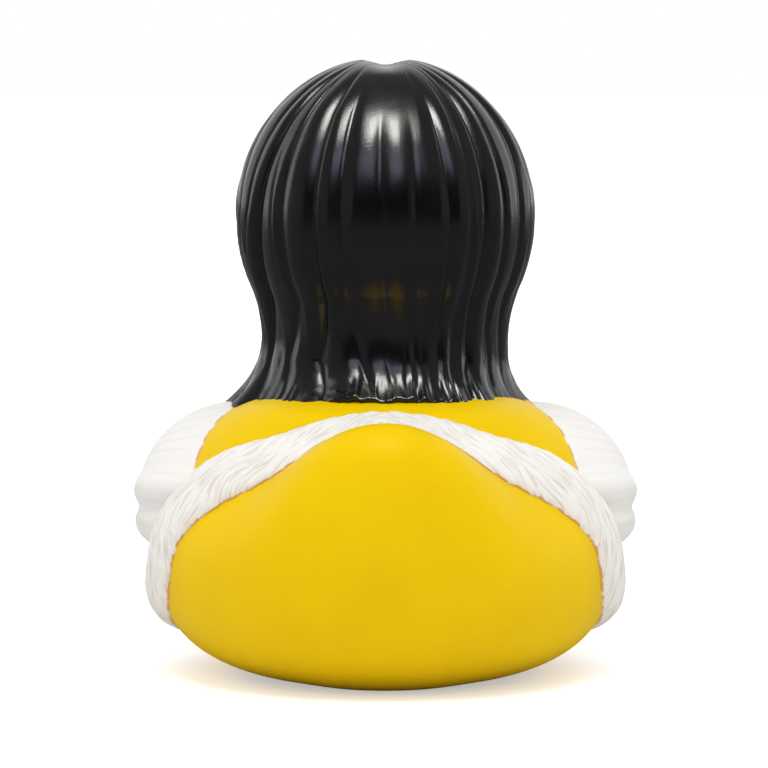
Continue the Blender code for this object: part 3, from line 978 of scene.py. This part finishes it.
    def build(self) -> Piece:
        """Models the hair as one closed shell.

        Returns:
            The finished hair.
        """
        locks = len(self.locks) + 2 * len(self.side_locks)
        columns = locks * self.lock_columns + self.opening_columns
        ball = turned_ball("hair", columns, self.rows)
        points = points_of(ball)
        polar = np.arccos(np.clip(points[:, 2], -1, 1)) / math.pi
        around = np.arctan2(-points[:, 0], points[:, 1]) / math.pi
        share = np.minimum(polar / self.outer_share, 1.0)
        placed = self.surface(np.round(around * columns / 2), share)
        # Past the hem the rows turn in under the locks and close inside the shoulders
        under = np.clip((polar - self.outer_share) / (1 - self.outer_share), 0, 1)
        foot = np.array([0, -self.axis_forward, self.hem_height - self.foot_drop])
        lip = self.lip * np.sin(np.clip(under / 0.25, 0, 1) * math.pi)
        placed = placed + (foot - placed) * (under**self.turn_in)[:, None]
        placed[:, 2] -= lip
        return closed_shell(ball, placed)

    def make(self) -> None:
        """Builds and dresses the hair."""
        dress(self.build(), self.finish.material())


@dataclass
class Stole:
    """A carved fur band that lies on the torso, from behind the tail down and forward on both sides."""

    stations: int = 620
    around: int = 150
    top_share: float = 0.80
    thickness: float = 0.0026
    nape_thickness: float = 0.0025
    width: float = 0.0125
    nape_width: float = 0.0115
    seat: float = 0.0015
    half_body: float = 0.0388
    half_length: float = 0.098
    line_deg: tuple[tuple[float, float], ...] = (
        (0, 45), (17, 41), (35, 31), (53, 22), (68, 9), (76, -6), (90, -14), (106, -18), (122, -20),
    )
    end_share: float = 0.08
    tuft_depth: float = 0.00028
    tuft_mm: float = 2.6
    strand_depth: float = 0.00012
    strand_mm: float = 0.85
    slant: float = math.radians(24)
    stain_height: float = 0.0009
    # The finish paints shade into the cuts between strands, half of the way to its darker grey
    finish: MattPaint = MattPaint("matt_acrylic_on_carved_fur", 0.38, 0.15, tint=0.50, colour="E4E1DC")

    def direction(self, share: Array) -> Array:
        """The way from the torso's centre to the band's middle line.

        Args:
            share: The way along the band, from -1 to 1, with the tail at 0.

        Returns:
            One unit vector for each number.
        """
        azimuth, rise = self.line_deg[1]
        knots = np.array([(-azimuth, rise), *self.line_deg, self.line_deg[-1]], float)
        place = np.abs(share) * (len(self.line_deg) - 1)
        i = np.minimum(place.astype(int), len(self.line_deg) - 2)
        t = (place - i)[:, None]
        a, b, c, d = (knots[i + k] for k in range(4))
        cubic = 2 * b + (c - a) * t + (2 * a - 5 * b + 4 * c - d) * t**2 + (3 * b - a - 3 * c + d) * t**3
        azimuth, rise = np.radians(cubic / 2).T
        azimuth, level = np.copysign(azimuth, share), np.cos(rise)
        return np.stack([-np.sin(azimuth) * level, np.cos(azimuth) * level, np.sin(rise)], axis=1)

    def build(self) -> Piece:
        """Models the band as a long closed pillow.

        Returns:
            The finished stole.
        """
        ball = turned_ball("fur_stole", self.around, self.stations)
        points = points_of(ball)
        share = 2 * np.arccos(np.clip(points[:, 2], -1, 1)) / math.pi - 1
        share = np.clip(share, -0.99999, 0.99999)
        turn = np.arctan2(points[:, 1], points[:, 0]) / math.pi
        on_top = np.abs(turn) <= self.top_share
        across = np.where(
            on_top,
            np.sin(np.clip(turn / self.top_share, -1, 1) * math.pi / 2),
            np.sign(turn) * (1 - np.abs(turn)) / (1 - self.top_share),
        )
        middle = self.direction(share)
        before, after = np.maximum(share - 0.01, -1.0), np.minimum(share + 0.01, 1.0)
        side = np.cross(middle, self.direction(after) - self.direction(before))
        side /= np.linalg.norm(side, axis=1, keepdims=True)
        to_end = np.maximum(0, (np.abs(share) - 1 + self.end_share) / self.end_share)
        taper = np.maximum(np.sqrt(1 - to_end**2), 0.02)
        from_nape = np.minimum(1, 3 * np.abs(share))
        width = self.nape_width + (self.width - self.nape_width) * from_nape
        thickness = self.nape_thickness + (self.thickness - self.nape_thickness) * from_nape
        along = share * self.half_length
        ragged = 1 + 0.018 * np.sin(along * 1400) + 0.012 * np.sin(along * 3100 + 1)
        half = width / 2 / self.half_body * taper * ragged
        rays = middle + side * (half * across)[:, None]
        rays /= np.linalg.norm(rays, axis=1, keepdims=True)
        skin = TORSO.reach(TORSO_CENTRE, rays)
        rise = np.sqrt(np.maximum(1 - np.abs(across) ** 2.3, 0))
        aside = across * width / 2 * taper
        # Tufts and strands slant across the band, away from the tail
        lean = np.abs(along) * math.sin(self.slant) + aside * math.cos(self.slant)
        wobble = 0.0005 * np.sin(aside * 700 + along * 180) + 0.0004 * np.sin(along * 420)
        tuft = np.abs(np.sin(math.pi * (lean + wobble) * MM / self.tuft_mm)) ** 0.7
        strand = np.abs(np.sin(math.pi * (lean + 1.6 * wobble) * MM / self.strand_mm)) ** 0.8
        carved = self.tuft_depth * (1 - tuft) + self.strand_depth * (1 - strand)
        lift = (thickness - carved) * rise * taper - self.seat * (1 - rise)
        radius = np.where(on_top, skin + lift, skin - 1.6 * self.seat)
        placed = TORSO_CENTRE + rays * radius[:, None]
        placed[:, 2] = np.maximum(placed[:, 2], 0.0)
        closed_shell(ball, placed)
        set_uv(ball, np.abs(along) * math.cos(self.slant) - aside * math.sin(self.slant), lean + wobble)
        edge = smoothstep(self.stain_height, 0.0001, np.maximum(lift, 0)) * on_top
        set_attribute(ball, "paint_edge", edge)
        return ball

    def make(self) -> None:
        """Builds and dresses the stole."""
        dress(self.build(), self.finish.material())


@dataclass
class Wings:
    """Three puffed feathers a side, each a rounded lobe set into the torso, which droop towards the tail."""

    # Inward from the back's side, forward, below the shoulders, then half thickness, length and height
    feathers: tuple[tuple[float, ...], ...] = (
        (0.0115, 0.0070, 0.0190, 0.0180, 0.0225, 0.0166),
        (0.0045, 0.0060, 0.0182, 0.0118, 0.0210, 0.0064),
        (0.0045, 0.0060, 0.0236, 0.0116, 0.0190, 0.0064),
    )
    # How shallow the underside of the uppermost feather is, against its top
    under: float = 0.55
    back_half_width: float = 0.0375
    shoulder_height: float = 0.0495
    droop: float = math.radians(8)
    voxel: float = 0.00045
    fillet: float = 0.0008
    barb_depth: float = 0.00003
    barb_mm: float = 1.3
    # The barbs fan out from a point this far before and below the shoulder, and are measured at this radius
    fan_forward: float = 0.0370
    fan_drop: float = 0.0190
    fan_radius: float = 0.040
    stain_height: float = 0.0005
    # The finish paints a little shade into the cuts between barbs
    finish: MattPaint = MattPaint("matt_acrylic_on_feathers", 0.9, 0.03, tint=0.10, colour="E2E0DC")

    def lobes(self, side: int) -> list[Blob]:
        """The three feathers of one wing, one block for each; side is as for build."""
        return [
            Blob(
                (side * (self.back_half_width - inset), -forward, self.shoulder_height - drop),
                tuple(half),
                lean=-self.droop,
                under=self.under if number == 0 else 1.0,
            )
            for number, (inset, forward, drop, *half) in enumerate(self.feathers)
        ]

    def build(self, side: int, name: str) -> Piece:
        """Models one wing.

        Args:
            side: 1 for the duck's left, -1 for its right.
            name: The piece's name.

        Returns:
            The finished wing.
        """
        lobes = self.lobes(side)
        pieces = []
        for lobe in lobes:
            ball = turned_ball(name, 64, 40)
            turn = np.array(Matrix.Rotation(-lobe.lean, 3, "X"))
            points = points_of(ball) * np.array(lobe.half)
            points[:, 2] *= np.where(points[:, 2] < 0, lobe.under, 1.0)
            move_points(ball, points @ turn.T + np.array(lobe.centre))
            pieces.append(ball)
        wing = joined(name, pieces)
        apply_modifier(wing, "REMESH", mode="VOXEL", voxel_size=self.voxel)
        form = Form(lobes[0], tuple((lobe, self.fillet) for lobe in lobes[1:]))
        form.press(wing, 4)
        points = points_of(wing)
        ways = form.slopes(points)
        ways /= np.linalg.norm(ways, axis=1, keepdims=True)
        # Barbs: shallow cuts that fan out from the front of each feather to its rim
        back, up = points[:, 1] + self.fan_forward, points[:, 2] - self.shoulder_height + self.fan_drop
        distance = np.hypot(up, back)
        around = np.arctan2(up, back) * self.fan_radius
        barbs = np.abs(np.sin(around * MM / self.barb_mm * math.pi / 2)) ** 0.5
        cut = self.barb_depth * (1 - barbs) * smoothstep(0.014, 0.030, distance)
        closed_shell(wing, points - ways * cut[:, None])
        set_uv(wing, distance, around)
        set_attribute(wing, "paint_edge", smoothstep(self.stain_height, 0, TORSO.distance(points)))
        return wing

    def make(self) -> None:
        """Builds and dresses both wings."""
        material = self.finish.material()
        dress(self.build(1, "left_wing"), material)
        dress(self.build(-1, "right_wing"), material)


@dataclass
class Bill:
    """The two halves of the bill: spoons that meet flat to flat and turn up at the tip."""

    root: float = 0.0337
    height: float = 0.0735
    half_width: float = 0.0125
    length: float = 0.0135
    upturn: float = 0.0035
    spread: float = 0.22
    upper: float = 0.0062
    lower: float = 0.0044
    lower_share: float = 0.80
    meet: float = 0.0014
    nostril_aside: float = 0.0036
    nostril_ahead: float = 0.0052
    nostril_depth: float = 0.0005
    nostril_size: tuple[float, float] = (0.0007, 0.0013)
    finish: SatinPaint = SatinPaint("enamel_brushed_orange", "F0821E", "E67412", roughness=0.32)

    def build(self, name: str, side: int, share: float, thickness: float) -> Piece:
        """Models one half of the bill.

        Args:
            name: The piece's name.
            side: 1 for the upper half, -1 for the lower.
            share: Its size against the upper half's.
            thickness: How far it swells from the mouth's line.

        Returns:
            The finished half.
        """
        ball = turned_ball(name, 128, 72)
        x, y, z = points_of(ball).T
        forward = np.maximum(0, -y) * share
        swell = np.where(z * side > 0, z * thickness, z * self.meet)
        aside = x * self.half_width * share * (1 - self.spread / 2 + self.spread * forward)
        ahead = y * self.length * share - self.root
        up = self.height + swell + self.upturn * forward**2
        for hand in (-1, 1) if side > 0 else ():
            off_x = (aside - hand * self.nostril_aside) / self.nostril_size[0]
            off_y = (ahead + self.root + self.nostril_ahead) / self.nostril_size[1]
            up = up - self.nostril_depth * np.exp(-(off_x**2) - off_y**2) * (z > 0)
        return closed_shell(ball, np.stack([aside, ahead, up], axis=1))

    def make(self) -> None:
        """Builds and dresses the bill."""
        material = self.finish.material()
        dress(self.build("upper_bill", 1, 1.0, self.upper), material)
        dress(self.build("lower_bill", -1, self.lower_share, self.lower), material)


@dataclass
class Eyes:
    """Plain round-topped eyes: a shallow white dome on the face and a black dome of a pupil on it."""

    azimuth: float = math.radians(24)
    rise: float = 0.0045
    head_radius: float = 0.0235
    half_width: float = 0.0042
    half_height: float = 0.0054
    relief: float = 0.0007
    seat: float = 0.0022
    pupil_relief: float = 0.0012
    pupil_share: float = 0.62
    squareness: float = 2.3
    fullness: float = 0.8
    white: SatinPaint = SatinPaint("enamel_printed_white", "F4F3F0", "EEECE8", roughness=0.30)
    black: SatinPaint = SatinPaint("enamel_printed_black", "0B0A0B", "131214", roughness=0.16)

    def build(self, name: str, side: int, share: float, relief: float) -> Piece:
        """Models one dome.

        Args:
            name: The piece's name.
            side: 1 for the duck's left, -1 for its right.
            share: Its width against the eye's.
            relief: How far it stands out of the face.

        Returns:
            The finished dome.
        """
        ball = turned_ball(name, 64, 40)
        points = points_of(ball)
        level = (np.abs(points[:, [0, 2]]) ** self.squareness).sum(axis=1) ** (1 / self.squareness)
        circle = np.hypot(points[:, 0], points[:, 2])
        fuller = np.where(circle > 1e-6, circle / np.maximum(level, 1e-9), 1)
        points[:, [0, 2]] *= (1 + (fuller - 1) * self.fullness)[:, None]
        points *= np.array([self.half_width * share, self.seat + relief, self.half_height * share])
        tilt = math.asin(self.rise / self.head_radius)
        turn = Matrix.Rotation(side * self.azimuth, 3, "Z") @ Matrix.Rotation(-tilt, 3, "X")
        place = Vector(HEAD_CENTRE) + turn @ Vector((0, self.seat - self.head_radius, 0))
        return closed_shell(ball, points @ np.array(turn).T + np.array(place))

    def make(self) -> None:
        """Builds and dresses both eyes."""
        white, black = self.white.material(), self.black.material()
        for side, hand in ((1, "left"), (-1, "right")):
            dress(self.build(f"{hand}_eye", side, 1.0, self.relief), white)
            dress(self.build(f"{hand}_pupil", side, self.pupil_share, self.pupil_relief), black)


@dataclass
class Studio:
    """A pale floor in a light tent, one soft box above, and the camera of the photograph."""

    floor_size: float = 6.0
    floor_glow: float = 0.42
    camera_distance: float = 0.9
    camera_rise: float = math.radians(5)
    aim_height: float = 0.0535
    picture: float = 768.0
    pixels_per_metre: float = 5660.0
    shift_pixels: tuple[float, float] = (-1.5, -15.0)
    film: float = 36.0
    fill: float = 0.90
    tent: float = 0.27
    lamp_aim: float = 0.06
    key_distance: float = 1.1
    key_rise: float = math.radians(66)
    key_size: tuple[float, float] = (0.36, 0.36)
    key_power: float = 5.3
    strip_distance: float = 0.9
    strip_height: float = 0.25
    strip_turn: float = math.radians(112)
    strip_size: tuple[float, float] = (0.10, 0.9)
    strip_power: float = 0.55

    def floor(self) -> None:
        """Lays the floor: white to the camera where it is lit, with the duck's own soft shadow."""
        bpy.ops.object.select_all(action="DESELECT")
        bpy.ops.mesh.primitive_grid_add(x_subdivisions=4, y_subdivisions=4, size=self.floor_size)
        floor = bpy.context.object
        floor.name = "studio_floor"
        material, shader, place = new_material("matt_acrylic_sheet")
        tree = material.node_tree
        noise = add_node(tree, "TexNoise", {"Scale": 40.0, "Detail": 2.0}, {"Vector": place})
        colours = {"data_type": "RGBA", 6: linear("F2F2F2"), 7: linear("EFEFEF")}
        tint = add_node(tree, "Mix", colours, {0: noise})
        # A reflection finds it darker, as if the duck stood on a small sheet
        ray = add_node(tree, "LightPath").outputs
        darker = {"data_type": "RGBA", 7: linear("707070")}
        seen = add_node(tree, "Mix", darker, {0: ray["Is Glossy Ray"], 6: tint})
        product = {"operation": "MULTIPLY", 1: self.floor_glow}
        glow = add_node(tree, "Math", product, {0: ray["Is Camera Ray"]})
        values = {"Roughness": 0.7, "Specular IOR Level": 0.2, "Emission Color": (1, 1, 1, 1)}
        wire(shader, values, {"Base Color": seen, "Emission Strength": glow})
        floor.data.materials.append(material)

    def world(self) -> None:
        """Sets the tent: a white backdrop, an even fill, and what the gloss mirrors."""
        world = bpy.data.worlds.new("light_tent")
        world.use_nodes = True
        bpy.context.scene.world = world
        tree = world.node_tree
        tree.nodes.clear()
        way = add_node(tree, "TexCoord").outputs["Generated"]
        axes = add_node(tree, "SeparateXYZ", links={0: way}).outputs
        height, behind = axes["Z"], axes["Y"]
        aside = add_node(tree, "Math", {"operation": "ABSOLUTE"}, {0: axes["X"]})
        # The gloss mirrors the white backdrop, and on this side the dark round the camera, a violet window
        # over it and the soft box on top: for each, where its edges fade in, and its colour
        patches = (
            (((behind, -0.20, -0.50), (height, 0.80, 0.60)), (1.0, 1.0, 1.0, 1)),
            (
                ((aside, 0.72, 0.56), (height, -0.55, -0.35), (height, 0.50, 0.42), (behind, 0.0, 0.2)),
                (0.0, 0.0, 0.0, 1),
            ),
            (
                ((aside, 0.42, 0.30), (height, 0.46, 0.54), (height, 0.76, 0.68), (behind, 0.0, 0.2)),
                (2.1, 1.9, 2.6, 1),
            ),
            (
                ((aside, 0.32, 0.24), (height, 0.80, 0.85), (height, 0.980, 0.965), (behind, 0.1, 0.2)),
                (8.6, 8.6, 7.8, 1),
            ),
        )
        seen = add_node(tree, "RGB")
        seen.outputs[0].default_value = (self.tent, self.tent, self.tent, 1)
        for edges, colour in patches:
            patch = add_node(tree, "Value")
            patch.outputs[0].default_value = 1.0
            for source, low, high in edges:
                span = {"interpolation_type": "SMOOTHSTEP", "From Min": low, "From Max": high}
                edge = add_node(tree, "MapRange", span, {"Value": source})
                patch = add_node(tree, "Math", {"operation": "MULTIPLY"}, {0: patch, 1: edge})
            seen = add_node(tree, "Mix", {"data_type": "RGBA", 7: colour}, {0: patch, 6: seen})
        mirror = add_node(tree, "Background", {"Strength": 1.0}, {"Color": seen})
        even = add_node(tree, "Background", {"Color": (1, 1, 1, 1), "Strength": self.fill})
        white = add_node(tree, "Background", {"Color": (1, 1, 1, 1), "Strength": 1.0})
        ray = add_node(tree, "LightPath").outputs
        lit = add_node(tree, "MixShader", links={0: ray["Is Glossy Ray"], 1: even, 2: mirror})
        shown = add_node(tree, "MixShader", links={0: ray["Is Camera Ray"], 1: lit, 2: white})
        add_node(tree, "OutputWorld", links={"Surface": shown})

    def lamp(self, name: str, place: Point, size: tuple[float, float], power: float) -> None:
        """Adds a soft box that faces the duck.

        Args:
            name: The lamp's name.
            place: Where it stands.
            size: Its width and height.
            power: Its power in watts.
        """
        data = bpy.data.lights.new(name, "AREA")
        data.shape = "RECTANGLE"
        data.size, data.size_y = size
        data.energy = power
        lamp = bpy.data.objects.new(name, data)
        bpy.context.scene.collection.objects.link(lamp)
        lamp.location = place
        aim = Vector((0, 0, self.lamp_aim)) - Vector(place)
        lamp.rotation_euler = aim.to_track_quat("-Z", "Y").to_euler()

    def lamps(self) -> None:
        """Sets the soft box above the duck's back and a narrow one on either side."""
        out = self.key_distance * math.cos(self.key_rise)
        up = self.lamp_aim + self.key_distance * math.sin(self.key_rise)
        self.lamp("soft_box_above", (0.0, out, up), self.key_size, self.key_power)
        aside = self.strip_distance * math.sin(self.strip_turn)
        back = self.strip_distance * math.cos(self.strip_turn)
        for side, name in ((-1, "strip_right"), (1, "strip_left")):
            self.lamp(name, (side * aside, back, self.strip_height), self.strip_size, self.strip_power)

    def camera(self) -> None:
        """Sets up the photograph's camera."""
        data = bpy.data.cameras.new("camera")
        data.sensor_width = self.film
        data.lens = self.film * self.camera_distance / (self.picture / self.pixels_per_metre)
        data.shift_x, data.shift_y = (shift / self.picture for shift in self.shift_pixels)
        camera = bpy.data.objects.new("camera", data)
        bpy.context.scene.collection.objects.link(camera)
        aim = Vector((0, 0, self.aim_height))
        away = Vector((0, math.cos(self.camera_rise), math.sin(self.camera_rise)))
        camera.location = aim + away * self.camera_distance
        camera.rotation_euler = (-away).to_track_quat("-Z", "Y").to_euler()
        bpy.context.scene.camera = camera

    def make(self) -> None:
        """Sets the stage."""
        self.floor()
        self.world()
        self.lamps()
        self.camera()
        bpy.context.scene.view_settings.view_transform = "Standard"


def main() -> None:
    """Builds the duck and its studio."""
    logging.basicConfig(level=logging.INFO, format="%(name)s: %(message)s")
    bpy.ops.object.select_all(action="DESELECT")
    for assembly in (Studio(), Body(), Hair(), Stole(), Wings(), Bill(), Eyes()):
        assembly.make()
        log.info("%s is in place", type(assembly).__name__)


if __name__ == "__main__":
    main()
